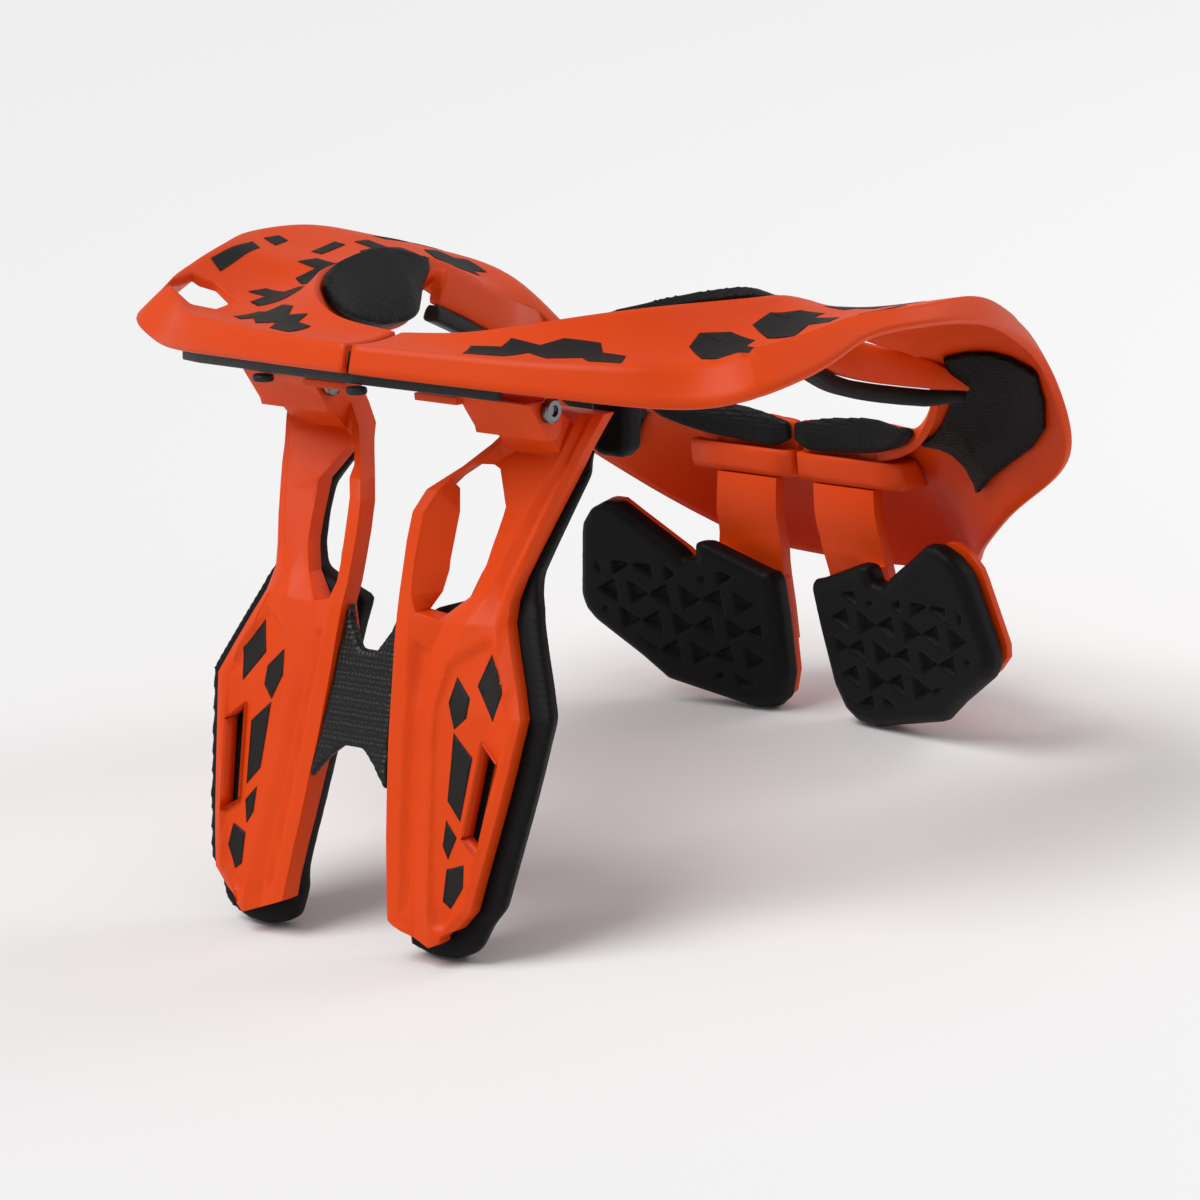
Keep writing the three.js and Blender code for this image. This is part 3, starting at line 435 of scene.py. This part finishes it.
def hard_piece(node, material, radius=None, levels=0, shape=None, relief=None):
    """A moulded piece: the CAD node with rounded edges, or with smoothed curves if levels is set.

    The shape moves its corners first, and the relief is pressed in after the edges are rounded.
    """
    bm = merged(node)
    if shape:
        shape(bm)
    if levels:
        crease = bm.edges.layers.float.new("crease_edge")
        for edge in bm.edges:
            if len(edge.link_faces) == 2 and edge.calc_face_angle(0) > RIM_ANGLE:
                edge[crease] = RIM_CREASE
        for face in bm.faces:
            face.smooth = True
    else:
        crisp = sizes().crisp_angle
        edges = [e for e in bm.edges if len(e.link_faces) == 2 and e.calc_face_angle(0) > crisp]
        bmesh.ops.bevel(
            bm,
            geom=edges,
            offset=radius or sizes().hard_bevel,
            offset_type="OFFSET",
            segments=2,
            profile=0.5,
            affect="EDGES",
            material=-1,
            clamp_overlap=True,
        )
        if relief:
            relief(bm)
        shade(bm)
    piece = linked(node + "_shell", bm, material, body_of(node), [node])
    if levels:
        apply_modifier(piece, "SUBSURF", levels=levels, render_levels=levels)
    return piece


def softened(bm, rounds):
    """Smooths every corner of a mesh a number of times."""
    for _ in range(rounds):
        bmesh.ops.smooth_vert(
            bm,
            verts=bm.verts,
            factor=0.5,
            use_axis_x=True,
            use_axis_y=True,
            use_axis_z=True,
        )


def foam_piece(node, material, rounds=None, relief=None, after=0, voxel=None):
    """A foam piece: remeshed finely, its edges softened, then its moulded relief pressed in.

    The rounds of smoothing come before the relief, and those of after follow it.
    """
    bm = merged(node)
    piece = linked(node + "_foam", bm, material, body_of(node), [node])
    apply_modifier(
        piece,
        "REMESH",
        mode="VOXEL",
        voxel_size=voxel or sizes().foam_voxel,
        use_smooth_shade=True,
    )
    bm = bmesh.new()
    bm.from_mesh(piece.data)
    softened(bm, rounds if rounds is not None else sizes().foam_rounds)
    if relief:
        bm.normal_update()
        moves = [(v, relief(v.co, v.normal)) for v in bm.verts]
        for vertex, move in moves:
            if move:
                vertex.co += move
    softened(bm, after)
    for face in bm.faces:
        face.smooth = True
    bm.to_mesh(piece.data)
    bm.free()
    piece.data.materials.clear()
    piece.data.materials.append(material)
    return piece


def step(value, low, high):
    """0 below low, 1 above high and a smooth rise between."""
    t = min(1.0, max(0.0, (value - low) / (high - low)))
    return t * t * (3 - 2 * t)


# Radius of the circle inside an equilateral triangle, as a share of its side
TRIANGLE_INSIDE = 0.29


def triangle_field(u, w):
    """How deep inside a triangle of the moulded pattern a point lies, in metres."""
    pitch = sizes().recess_pitch
    row = math.floor(w / pitch)
    across = u / pitch + 0.5 * (row % 2)
    column = math.floor(across)
    a = (across - column - 0.5) * pitch
    b = (w / pitch - row - 0.5) * pitch
    if (row + column) % 2:
        a = -a
    inner = sizes().recess_side * TRIANGLE_INSIDE
    root = math.sqrt(3) / 2
    return min(inner + a, inner - (a * 0.5 + b * root), inner - (a * 0.5 - b * root))


# Pad outline in the worn frame, X and Z in millimetres, repeated from the CAD
PAD_CORNERS = [
    (83.1, -0.4), (81.8, 3.8), (77.4, 9.3), (71.3, 12.4), (66.2, 12.3), (59.3, 7.2),
    (45.9, -2.5), (42.8, -5.9), (38.4, -5.2), (37.5, 0.4), (33, 0.8), (11.7, -7.9),
    (9.2, -8.3), (7.7, -11.5), (8.4, -26), (9.7, -41.5), (10.2, -46.7), (13.6, -55.8),
    (18.7, -59.9), (27.8, -60.4), (58.9, -53.6), (67.9, -45.8), (78.5, -37.9),
    (84.2, -33.7), (87.4, -29.4), (88.3, -23.8),
]  # fmt: skip


def outline_distance(x, z, corners):
    """Distance from a point to an outline, below zero outside it."""
    best = 1e9
    inside = False
    count = len(corners)
    for i in range(count):
        ax, az = corners[i]
        bx, bz = corners[(i + 1) % count]
        if (az > z) != (bz > z) and x < (bx - ax) * (z - az) / (bz - az) + ax:
            inside = not inside
        dx, dz = bx - ax, bz - az
        t = min(1, max(0, ((x - ax) * dx + (z - az) * dz) / (dx * dx + dz * dz)))
        best = min(best, math.hypot(x - ax - t * dx, z - az - t * dz))
    return best if inside else -best


# The triangles keep clear of the pad's rim and of its top; all in millimetres
RECESS_RIM = 6.5
RECESS_TOP = -9
RECESS_ORIGIN = (48, -26)
RECESS_FADE = (2.5, 2)
# Width of a triangle's slanted wall, in metres
RECESS_WALL = 0.0011
# Reliefs are pressed only where the normal's Y in the worn frame is below this
PAD_FACING = -0.5
STRUT_FACING = -0.55


def scapula_relief(place, normal):
    """Rows of triangles pressed into the front of a shoulder blade pad, inside its rim."""
    point = worn_place(place)
    side = math.copysign(1, point.x)
    if (BACK_TURN @ normal).y > PAD_FACING:
        return None
    x = point.x * side
    rim = outline_distance(x, point.z, PAD_CORNERS)
    if rim < RECESS_RIM or point.z > RECESS_TOP:
        return None
    u, w = (x - RECESS_ORIGIN[0]) / 1000, (point.z - RECESS_ORIGIN[1]) / 1000
    depth = step(triangle_field(u, w), 0.0, RECESS_WALL)
    depth *= step(rim, RECESS_RIM, RECESS_RIM + RECESS_FADE[0])
    depth *= step(RECESS_TOP - point.z, 0, RECESS_FADE[1])
    return -normal * sizes().recess_depth * depth if depth > 0 else None


# Outer edge of the chest strut in the worn frame: height and X in millimetres
STRUT_EDGE = [
    (-86, 47.5), (-79.5, 50.8), (-73.3, 56.3), (-61.4, 58.5), (-54, 59.8), (-40, 62.1),
    (-28, 63.9), (-12.5, 66), (-3, 61.8), (6, 57.4), (15, 53.1), (22, 50.4), (29, 50.2), (47, 55.6),
]  # fmt: skip


def edge_at(height):
    """The strut's outer edge at a height, in millimetres."""
    for (low, a), (high, b) in zip(STRUT_EDGE, STRUT_EDGE[1:]):
        if low <= height <= high:
            return a + (b - a) * (height - low) / (high - low)
    return STRUT_EDGE[0][1] if height < STRUT_EDGE[0][0] else 99.0


# The lips' tails rise between these values of the worn frame's Y, in millimetres
TAIL_RISE = (22, 87)
# How far they rise, in metres
TAIL_LIFT = 0.005


def tail_raised(bm):
    """Lifts the free tail of a shoulder lip, and the rubber under it, towards the neck's edge."""
    for vertex in bm.verts:
        along = worn_place(vertex.co).y
        vertex.co += TURN @ Vector((0, 0, TAIL_LIFT * step(along, *TAIL_RISE)))


# The inner rail beside the strut's window, in the worn frame's millimetres
RAIL_FOOT = 17
RAIL_HEAD = 57
RAIL_OUTSIDE = 21
RAIL_SLANT = (7.5, 1.5)
# Below this height the orange is drawn in by this much, over this range beside its edge
TRIM_TOP = 29
TRIM = 3.2
TRIM_RANGE = (6.5, 3.5)
# How far the foam swells at the strut's outer edge and at its tip, and where each begins
SWELL = 2.4
SWELL_FROM = (42, 50)
TIP_SWELL = 2
TIP_FROM = (70, 80)


def rail_reach(point):
    """1 on the back of the rail's window side, fading out at its two ends, and 0 elsewhere."""
    # Where the rail's front and its window side lie at this height
    front = -95 - 12 * step(64 - point.z, 0, 10) - 13 * step(54 - point.z, 0, 42)
    inside = 12.8 + 8 * step(point.z, 47, 58)
    if not inside < abs(point.x) < RAIL_OUTSIDE or point.y < front + 4:
        return 0
    return step(point.z, RAIL_FOOT, RAIL_FOOT + 7) * step(RAIL_HEAD - point.z, 0, 8)


def strut_trimmed(bm):
    """Slants the window side of the inner rail and draws the outer edge in over the foam."""
    for vertex in bm.verts:
        point = worn_place(vertex.co)
        reach = rail_reach(point)
        out = RAIL_SLANT[0] * reach
        if point.z < TRIM_TOP:
            edge = edge_at(point.z)
            near = step(abs(point.x), edge - TRIM_RANGE[0], edge - TRIM_RANGE[1])
            out -= TRIM * near * step(TRIM_TOP - point.z, 0, 14)
        vertex.co += worn_move(math.copysign(1, point.x) * out, RAIL_SLANT[1] * reach, 0)


def chest_foam_spread(place, normal):
    """The chest foam swells past the strut's outer edge and the sides of its tip."""
    point = worn_place(place)
    if point.z > TRIM_TOP:
        return None
    side = math.copysign(1, point.x)
    facing = BACK_TURN @ normal
    out = max(0.0, facing.x * side) * step(abs(point.x), *SWELL_FROM)
    tip = step(-point.z, *TIP_FROM)
    spread = SWELL * side * out + TIP_SWELL * facing.x * tip * (1 - out)
    return worn_move(spread * step(TRIM_TOP - point.z, 0, 12), 0, 0)


# Recesses in the front of a chest strut, X and Z in millimetres in the worn frame, with their depth
STRUT_RECESSES = (
    (
        1.5,
        [
            (46, 11), (53, 0), (59.3, -12.5), (57.4, -28), (53.5, -54), (50, -72.5), (43.5, -80.5),
            (38.6, -80), (34.5, -54), (31, -28), (29.5, -12.5), (32, 2),
        ],
    ),
    (
        1.7,
        [
            (18.2, 9), (20.2, -12.5), (21.3, -28), (24.2, -54), (26.8, -77), (30, -77),
            (28, -54), (25, -28), (23.6, -12.5), (24.2, 5),
        ],
    ),
)  # fmt: skip


def sliced(bm, axis, low, high, spacing, dist, place=None):
    """Cuts a mesh by parallel planes across an axis, of the worn frame in millimetres if placed."""
    normal = Vector((0, 0, 0))
    normal[axis] = 1
    value = low
    while value < high:
        plane = normal * value
        bmesh.ops.bisect_plane(
            bm,
            geom=bm.verts[:] + bm.edges[:] + bm.faces[:],
            plane_co=place(*plane) if place else plane,
            plane_no=TURN @ normal if place else normal,
            dist=dist,
        )
        value += spacing


# The part of the struts that is cut into cells, and the width of a recess's slope, in millimetres
PRESSED = ((0, -70, 70), (2, -90, 16))
PRESSED_CELL = 1.5
RECESS_SLOPE = 1.8


def strut_pressed(bm):
    """Cuts a strut into small cells and presses its panel and its groove into the front."""
    for axis, low, high in PRESSED:
        sliced(bm, axis, low, high, PRESSED_CELL, 1e-6, place=worn)
    bm.normal_update()
    for vertex in bm.verts:
        point = worn_place(vertex.co)
        if (BACK_TURN @ vertex.normal).y > STRUT_FACING:
            continue
        for depth, corners in STRUT_RECESSES:
            inside = outline_distance(abs(point.x), point.z, corners)
            if inside > 0:
                press = depth * step(inside, 0, RECESS_SLOPE)
                vertex.co += TURN @ Vector((0, press / 1000, 0))


# Printed patches: outlines in the worn frame in millimetres, dropped onto a surface


def patch_points(corners, spacing):
    """The inside of an outline as a triangulated sheet of small cells."""
    bm = bmesh.new()
    face = bm.faces.new([bm.verts.new((x, y, 0)) for x, y in corners])
    bmesh.ops.triangulate(bm, faces=[face])
    for axis in (0, 1):
        values = [corner[axis] for corner in corners]
        sliced(bm, axis, min(values) + spacing, max(values), spacing, 1e-4)
    return bm


# Patches are dropped from this height, or from this far in front, in millimetres
DROP_HEIGHT = 200
DROP_FRONT = -260


def printed_patch(name, corners, side, target, view, body):
    """A printed patch: its outline is laid on the target from above or from the front."""
    bm = patch_points(corners, sizes().print_step * 1000)
    tree = BVHTree.FromObject(target, bpy.context.evaluated_depsgraph_get())
    direction = TURN @ Vector((0, 0, -1) if view == "top" else (0, 1, 0))
    lost = []
    for vertex in bm.verts:
        u, w = vertex.co.x * side, vertex.co.y
        start = worn(u, w, DROP_HEIGHT) if view == "top" else worn(u, DROP_FRONT, w)
        hit, normal, _, _ = tree.ray_cast(start, direction)
        if hit is None:
            lost.append(vertex)
            continue
        if normal.dot(direction) > 0:
            normal = -normal
        vertex.co = hit + normal * sizes().print_lift
    if lost:
        bmesh.ops.delete(bm, geom=lost, context="VERTS")
    bmesh.ops.recalc_face_normals(bm, faces=bm.faces)
    for face in bm.faces:
        face.smooth = True
    piece = linked(name, bm, printed_dark(), body)
    apply_modifier(piece, "SOLIDIFY", thickness=0.0001, offset=-1.0)
    return piece


# Outlines of the printed patches on the left half; a mirrored copy goes on the right
DECK_PATCHES = {
    "front_steps": [
        (84, -62), (92, -66), (92, -60), (99, -62), (99, -54), (107, -54),
        (105, -47), (96, -48), (95, -42), (87, -44), (88, -52), (82, -54),
    ],
    "pad_steps": [
        (88, -34), (97, -38), (97, -31), (104, -33), (103, -24), (111, -24),
        (109, -16), (100, -17), (99, -10), (91, -12), (92, -20), (86, -22),
    ],
    "middle_steps": [
        (90, 2), (99, 0), (100, 6), (108, 5), (109, 13), (117, 13),
        (117, 20), (108, 20), (107, 26), (99, 26), (98, 19), (92, 18),
    ],
    "rear_steps": [
        (88, 34), (97, 32), (98, 38), (106, 37), (107, 45),
        (100, 46), (100, 53), (91, 53), (90, 44), (86, 43),
    ],
    "outer_bar": [(121, -52), (127, -50), (131, -24), (126, -26)],
    "outer_chip": [(126, -18), (133, -16), (133, -8), (128, -9)],
    "thin_bar": [(112, -10), (116, -11), (120, 6), (116, 7)],
    "rear_bar": [(118, 30), (122, 29), (118, 56), (114, 57)],
    "long_steps": [
        (33, -108), (42, -104), (42, -99), (52, -97), (56, -90), (66, -84), (70, -88), (76, -84),
        (80, -92), (72, -98), (68, -96), (60, -104), (52, -103), (48, -111), (36, -116),
    ],
}  # fmt: skip
STRUT_PATCHES = {
    "upper": [(47, 6), (54, -4), (52, -14), (44, -4)],
    "notch": [(36, -2), (42, -8), (42, -14), (38, -18), (34.5, -10)],
    "blade": [(38, -19), (46, -26), (44.5, -46), (39, -40)],
    "chip": [(39.5, -46), (44, -51), (42, -58), (39.5, -54)],
    "low": [(42, -61), (48, -59), (49, -66), (45, -73), (42, -71)],
}


# Operators, one for each piece or group


class BRACE_OT_collar(bpy.types.Operator):
    """Both collar halves, smooth over their curves and crisp on their rims"""

    bl_idname = "brace.collar"
    bl_label = "Collar halves"

    def execute(self, context):
        for side, sign in SIDES:
            shell = hard_piece(f"collar_{side}", moulded_orange(), levels=2)
            for name, corners in DECK_PATCHES.items():
                printed_patch(f"deck_print_{name}_{side}", corners, sign, shell, "top", "collar")
        return {"FINISHED"}


class BRACE_OT_lips(bpy.types.Operator):
    """The shoulder lips and their rubber strips"""

    bl_idname = "brace.lips"
    bl_label = "Shoulder lips"

    def execute(self, context):
        for side, _ in SIDES:
            hard_piece(f"shoulder_lip_{side}", moulded_orange(), levels=2, shape=tail_raised)
            hard_piece(
                f"shoulder_rubber_{side}", soft_rubber(), levels=2, shape=tail_raised
            )
        return {"FINISHED"}


class BRACE_OT_link(bpy.types.Operator):
    """The link plate under the front rim and its two buttons"""

    bl_idname = "brace.link"
    bl_label = "Front link"

    def execute(self, context):
        hard_piece("front_link_plate", black_plastic(), radius=0.0006)
        for name in ("middle", "right"):
            hard_piece(f"link_button_{name}", black_plastic(), radius=0.0008)
        return {"FINISHED"}


class BRACE_OT_hinges(bpy.types.Operator):
    """The hinge brackets and the bolts through them"""

    bl_idname = "brace.hinges"
    bl_label = "Chest hinges"

    def execute(self, context):
        for side, _ in SIDES:
            hard_piece(f"hinge_bracket_{side}", moulded_orange(), radius=0.0006)
            bolt(side)
        return {"FINISHED"}


class BRACE_OT_collar_pads(bpy.types.Operator):
    """The pads round the neck, the clavicle pads and the rear corner panels"""

    bl_idname = "brace.collar_pads"
    bl_label = "Collar pads"

    def execute(self, context):
        for side, _ in SIDES:
            foam_piece(f"front_collar_pad_{side}", woven_foam())
            foam_piece(f"rear_collar_pad_{side}", woven_foam(), rounds=2)
            foam_piece(f"clavicle_pad_{side}", foam_skin(), rounds=4)
            foam_piece(f"rear_foam_panel_{side}", woven_foam(), rounds=2)
        return {"FINISHED"}


class BRACE_OT_back(bpy.types.Operator):
    """The back straps and the shoulder blade pads"""

    bl_idname = "brace.back"
    bl_label = "Back straps and pads"

    def execute(self, context):
        for side, _ in SIDES:
            hard_piece(f"back_strap_{side}", moulded_orange())
            foam_piece(
                f"scapula_pad_{side}",
                foam_skin(),
                relief=scapula_relief,
                voxel=0.0007,
                rounds=4,
            )
        return {"FINISHED"}


class BRACE_OT_chest(bpy.types.Operator):
    """The chest struts, their foam and the mesh bridge between them"""

    bl_idname = "brace.chest"
    bl_label = "Chest struts"

    def execute(self, context):
        for side, sign in SIDES:
            strut = hard_piece(
                f"chest_strut_{side}",
                moulded_orange(),
                radius=0.0009,
                shape=strut_trimmed,
                relief=strut_pressed,
            )
            for name, corners in STRUT_PATCHES.items():
                printed_patch(f"strut_print_{name}_{side}", corners, sign, strut, "front", "chest")
            foam_piece(
                f"chest_pad_{side}",
                foam_skin(),
                relief=chest_foam_spread,
                rounds=6,
                after=8,
                voxel=0.001,
            )
        foam_piece("chest_bridge", bridge_mesh(), rounds=2, voxel=0.0008)
        return {"FINISHED"}


class BRACE_OT_stage(bpy.types.Operator):
    """The plain floor, the soft studio lights and the camera at the photograph's angle"""

    bl_idname = "brace.stage"
    bl_label = "Stage"

    def execute(self, context):
        floor()
        lights()
        camera()
        return {"FINISHED"}


class BRACE_PT_panel(bpy.types.Panel):
    """The brace's panel in the sidebar"""

    bl_idname = "BRACE_PT_panel"
    bl_label = "Neck brace"
    bl_space_type = "VIEW_3D"
    bl_region_type = "UI"
    bl_category = "Neck brace"

    def draw(self, context):
        for made in OPERATORS:
            self.layout.operator(made.bl_idname)
        for group in (context.scene.brace_sizes, context.scene.brace_colours):
            for key in group.__annotations__:
                self.layout.prop(group, key)


# Faces round a bolt; height of its head and nut and radius of its shank, in metres
BOLT_STEPS = 48
BOLT_HEAD_TALL = 0.0022
BOLT_SHANK = 0.002


def bolt(side):
    """One hinge bolt: a spun profile of socket, round head, shank and capped nut."""
    low, high = (Vector(corner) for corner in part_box(f"hinge_bolt_{side}"))
    centre = (low + high) / 2
    near = min(abs(low.x), abs(high.x))
    far = max(abs(low.x), abs(high.x))
    head = (high.y - low.y) / 2
    socket = sizes().socket_across / 2
    floor_x = near + sizes().socket_depth
    profile = [
        (floor_x, 0),
        (floor_x, socket),
        (near, socket),
        (near, head * 0.82),
        (near + 0.0003, head * 0.95),
        (near + 0.0007, head),
        (near + BOLT_HEAD_TALL, head),
        (near + BOLT_HEAD_TALL, BOLT_SHANK),
        (far - BOLT_HEAD_TALL, BOLT_SHANK),
        (far - BOLT_HEAD_TALL, head * 0.98),
        (far - 0.0005, head * 0.98),
        (far, head * 0.8),
        (far, head * 0.45),
        (far - 0.0009, head * 0.42),
        (far - 0.0009, 0),
    ]
    bm = bmesh.new()
    points = [bm.verts.new((x, radius, 0)) for x, radius in profile]
    edges = [bm.edges.new(pair) for pair in zip(points, points[1:])]
    bmesh.ops.spin(
        bm,
        geom=points + edges,
        cent=(0, 0, 0),
        axis=(1, 0, 0),
        angle=math.tau,
        steps=BOLT_STEPS,
        use_merge=True,
    )
    bmesh.ops.remove_doubles(bm, verts=bm.verts, dist=1e-6)
    # The socket's round wall becomes a hexagon
    for vertex in bm.verts:
        radius = math.hypot(vertex.co.y, vertex.co.z)
        if abs(radius - socket) < 1e-5 and vertex.co.x < floor_x + 1e-5:
            turn = math.atan2(vertex.co.z, vertex.co.y) % (math.pi / 3) - math.pi / 6
            vertex.co.y /= math.cos(turn)
            vertex.co.z /= math.cos(turn)
    if side == "right":
        bmesh.ops.scale(bm, verts=bm.verts, vec=(-1, 1, 1))
    bmesh.ops.translate(bm, verts=bm.verts, vec=(0, centre.y, centre.z))
    bmesh.ops.recalc_face_normals(bm, faces=bm.faces)
    shade(bm)
    node = f"hinge_bolt_{side}"
    return linked(node + "_turned", bm, plated_steel(), "collar", [node])


def floor():
    """A plain pale floor of matt paper."""
    made, _, shader, _ = new_material("studio_floor")
    shader.inputs["Base Color"].default_value = linear(colours().floor)
    shader.inputs["Roughness"].default_value = 0.9
    bm = bmesh.new()
    bmesh.ops.create_grid(bm, x_segments=1, y_segments=1, size=30)
    mesh = bpy.data.meshes.new("floor")
    bm.to_mesh(mesh)
    bm.free()
    mesh.materials.append(made)
    piece = bpy.data.objects.new("floor", mesh)
    bpy.context.scene.collection.objects.link(piece)


def aimed(name, data, place, target):
    """An object at a place, turned to look at its target."""
    made = bpy.data.objects.new(name, data)
    made.location = place
    made.rotation_euler = (Vector(target) - Vector(place)).to_track_quat("-Z", "Y").to_euler()
    bpy.context.scene.collection.objects.link(made)
    return made


# Strength of the world's light on the brace, and of the backdrop that the camera sees
WORLD_LIGHT = 0.42
WORLD_SEEN = 0.84
SUN_STRENGTH = 2.15
SUN_SPREAD = math.radians(38)
RIM_WATTS = 6


def lights():
    """A pale world, one broad soft sun from high on the left and a faint light from behind."""
    world = bpy.data.worlds.new("studio")
    world.use_nodes = True
    backdrop = world.node_tree.nodes["Background"]
    backdrop.inputs[0].default_value = (1.0, 1.0, 1.0, 1.0)
    seen = add(world.node_tree, "ShaderNodeLightPath").outputs["Is Camera Ray"]
    strength = add(world.node_tree, "ShaderNodeMapRange", {0: seen, 3: WORLD_LIGHT, 4: WORLD_SEEN})
    world.node_tree.links.new(strength.outputs[0], backdrop.inputs[1])
    bpy.context.scene.world = world
    bpy.context.scene.view_settings.view_transform = "Standard"
    sun = bpy.data.lights.new("key", "SUN")
    sun.energy = SUN_STRENGTH
    sun.angle = SUN_SPREAD
    aimed("key", sun, (-0.7, -1.3, 2.4), (0, 0, 0.1))
    rim = bpy.data.lights.new("rim", "AREA")
    rim.shape = "DISK"
    rim.size = 0.8
    rim.energy = RIM_WATTS
    aimed("rim", rim, (0.9, 1.2, 1.1), (0, 0, 0.1))


# Seen from the worn frame: angles in degrees, distance in metres, lens in millimetres
CAMERA_TURN = 38.0
CAMERA_RISE = 11.09
CAMERA_REACH = 2.1
CAMERA_LENS = 189.0


def camera():
    """The camera that took the photograph, found in the worn frame and moved with the pose."""
    turn, rise = math.radians(CAMERA_TURN), math.radians(CAMERA_RISE)
    level = math.cos(rise)
    back = Vector((math.sin(turn) * level, -math.cos(turn) * level, math.sin(rise)))
    right = Vector((math.cos(turn), math.sin(turn), 0))
    up = back.cross(right)
    basis = Matrix((right, up, back)).transposed().to_4x4()
    data = bpy.data.cameras.new("camera")
    data.sensor_width = 36
    data.lens = CAMERA_LENS
    data.clip_end = 100
    made = bpy.data.objects.new("camera", data)
    made.matrix_world = POSE @ Matrix.Translation(back * CAMERA_REACH) @ basis
    bpy.context.scene.collection.objects.link(made)
    bpy.context.scene.camera = made


OPERATORS = (
    BRACE_OT_collar,
    BRACE_OT_lips,
    BRACE_OT_link,
    BRACE_OT_hinges,
    BRACE_OT_collar_pads,
    BRACE_OT_back,
    BRACE_OT_chest,
    BRACE_OT_stage,
)
CLASSES = (BraceSizes, BraceColours, *OPERATORS, BRACE_PT_panel)


def register():
    for made in CLASSES:
        bpy.utils.register_class(made)
    bpy.types.Scene.brace_sizes = bpy.props.PointerProperty(type=BraceSizes)
    bpy.types.Scene.brace_colours = bpy.props.PointerProperty(type=BraceColours)


def unregister():
    del bpy.types.Scene.brace_colours
    del bpy.types.Scene.brace_sizes
    for made in reversed(CLASSES):
        bpy.utils.unregister_class(made)


def main():
    """Registers the add-on, builds every piece and keeps the two boxes."""
    register()
    bpy.ops.brace.collar()
    bpy.ops.brace.lips()
    bpy.ops.brace.link()
    bpy.ops.brace.hinges()
    bpy.ops.brace.collar_pads()
    bpy.ops.brace.back()
    bpy.ops.brace.chest()
    bpy.ops.brace.stage()


if __name__ == "__main__":
    main()
